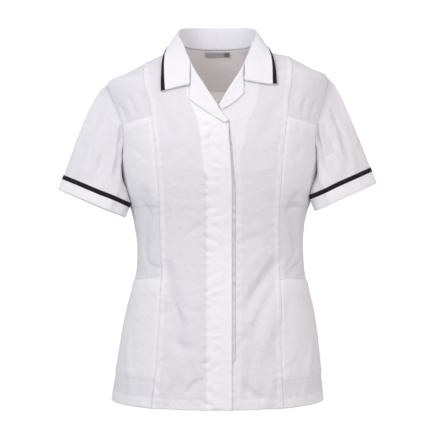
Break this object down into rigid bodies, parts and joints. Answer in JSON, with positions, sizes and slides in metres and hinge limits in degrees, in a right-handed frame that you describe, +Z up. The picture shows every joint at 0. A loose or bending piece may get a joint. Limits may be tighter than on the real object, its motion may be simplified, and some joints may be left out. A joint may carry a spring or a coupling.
{
  "type": "work tunic",
  "caption": "Short-sleeved fitted work tunic with a revere collar, a concealed front zip, four patch pockets and contrast tape on collar and cuffs.",
  "frame": {"origin": "base of the neck, midway between the two points where the shoulder seams meet the collar", "axes": "+Z up; the front faces -Y; +X towards the wearer's left, which is the viewer's right"},
  "size_m": [0.6264, 0.2694, 0.7436],
  "materials": {
    "white_cloth": "matt white polyester-cotton twill",
    "navy_tape": "matt navy twill binding tape",
    "zip_tape": "woven zip tape, shaded grey",
    "grey_label": "plain woven satin label",
    "dark_label": "plain woven satin tab"
  },
  "bodies": {
    "root": {"back": "white_cloth", "back_neck_facing": "white_cloth", "collar_fall": "white_cloth", "collar_stand": "white_cloth", "collar_tape": "navy_tape", "cuff_left": "white_cloth", "cuff_right": "white_cloth", "cuff_tape_left": "navy_tape", "cuff_tape_right": "navy_tape", "fly_placket": "white_cloth", "front_left_centre": "white_cloth", "front_left_side": "white_cloth", "front_right_centre": "white_cloth", "front_right_side": "white_cloth", "label_tab": "dark_label", "lapel_left": "white_cloth", "lapel_right": "white_cloth", "lower_pocket_left": "white_cloth", "lower_pocket_right": "white_cloth", "neck_label": "grey_label", "sleeve_left": "white_cloth", "sleeve_right": "white_cloth", "upper_pocket_left": "white_cloth", "upper_pocket_right": "white_cloth", "zip_tape": "zip_tape"}
  },
  "joints": []
}
